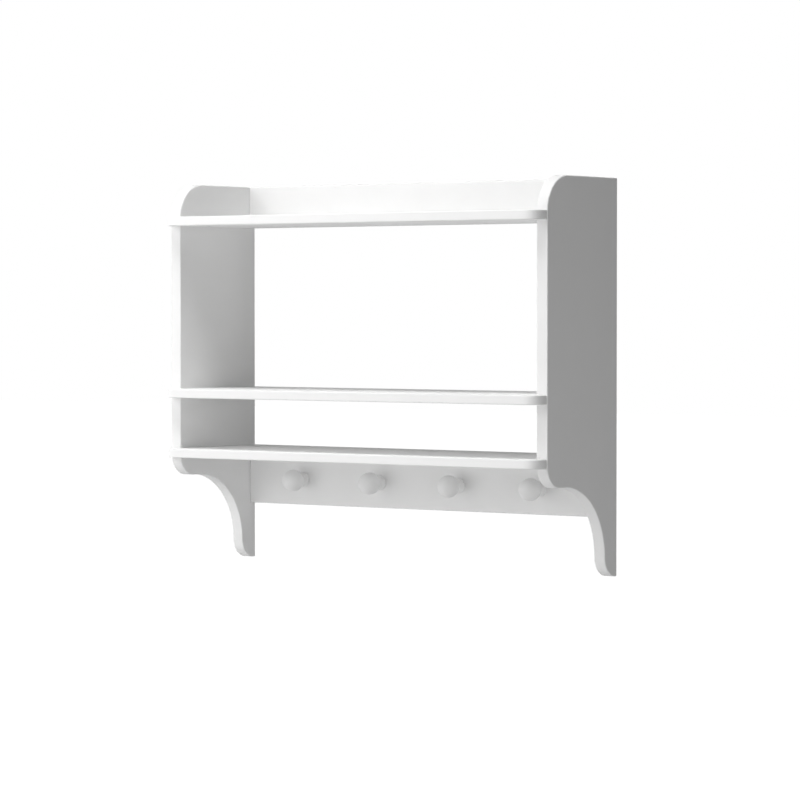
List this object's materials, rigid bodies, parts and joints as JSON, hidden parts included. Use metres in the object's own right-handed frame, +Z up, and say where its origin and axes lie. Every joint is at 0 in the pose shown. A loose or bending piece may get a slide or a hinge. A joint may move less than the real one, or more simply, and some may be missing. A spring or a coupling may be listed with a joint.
{
  "type": "wall shelf with pegs",
  "caption": "White wall shelf: shaped side panels with scooped brackets, lipped boards, a top rail and a back rail with four ball-headed pegs.",
  "frame": {"origin": "on the wall plane, midway between the two keyhole hangers, at the centre height of their entry holes", "axes": "+X to the right seen from the front, +Y into the wall, +Z up; the front looks along -Y"},
  "size_m": [0.8, 0.237, 0.669],
  "materials": {
    "white_lacquer": "satin",
    "beech": "matt",
    "cast_zinc": "matt",
    "zinc_plated_steel": "satin"
  },
  "bodies": {
    "root": {"side_panel_left": "white_lacquer", "side_panel_right": "white_lacquer", "shelf_top": "white_lacquer", "shelf_top_cam_bolts": "zinc_plated_steel", "shelf_top_cam_locks": "cast_zinc", "shelf_top_dowels": "beech", "shelf_middle": "white_lacquer", "shelf_middle_cam_bolts": "zinc_plated_steel", "shelf_middle_cam_locks": "cast_zinc", "shelf_middle_dowels": "beech", "shelf_bottom": "white_lacquer", "shelf_bottom_cam_bolts": "zinc_plated_steel", "shelf_bottom_cam_locks": "cast_zinc", "shelf_bottom_dowels": "beech", "top_rail": "white_lacquer", "top_rail_cam_bolts": "zinc_plated_steel", "top_rail_cam_locks": "cast_zinc", "top_rail_dowels": "beech", "peg_rail": "white_lacquer", "peg_rail_cam_bolts": "zinc_plated_steel", "peg_rail_cam_locks": "cast_zinc", "peg_rail_dowels": "beech", "peg_1": "white_lacquer", "peg_screw_1": "zinc_plated_steel", "peg_2": "white_lacquer", "peg_screw_2": "zinc_plated_steel", "peg_3": "white_lacquer", "peg_screw_3": "zinc_plated_steel", "peg_4": "white_lacquer", "peg_screw_4": "zinc_plated_steel", "keyhole_hanger_left": "zinc_plated_steel", "hanger_screws_left": "zinc_plated_steel", "keyhole_hanger_right": "zinc_plated_steel", "hanger_screws_right": "zinc_plated_steel"}
  },
  "joints": []
}
